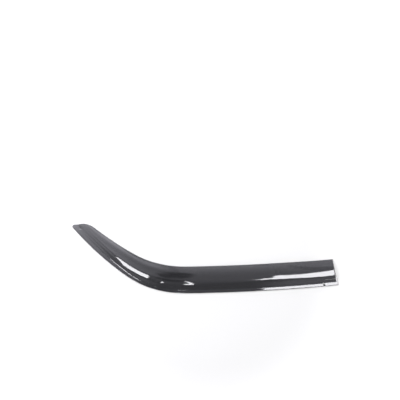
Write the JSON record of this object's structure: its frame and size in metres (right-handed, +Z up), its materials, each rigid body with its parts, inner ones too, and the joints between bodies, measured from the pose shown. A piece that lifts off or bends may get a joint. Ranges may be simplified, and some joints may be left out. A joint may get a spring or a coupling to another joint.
{
  "type": "window rain deflector",
  "caption": "Smoked, glossy rain deflector for a front side window: a long arched shade with a flat flange, a bend at its nose and a foam tape underneath.",
  "frame": {"origin": "centre of the bounding box, on the plane that the foam tape rests on", "axes": "+X from the nose to the rear end, +Y from the flange toward the free edge, +Z up, away from the tape"},
  "size_m": [0.9418, 0.2488, 0.021],
  "materials": {
    "smoked_acrylic": "polished, smoke tinted, slightly see-through",
    "foam_tape": "matt black foam"
  },
  "bodies": {
    "root": {"visor": "smoked_acrylic", "tape": "foam_tape"}
  },
  "joints": []
}
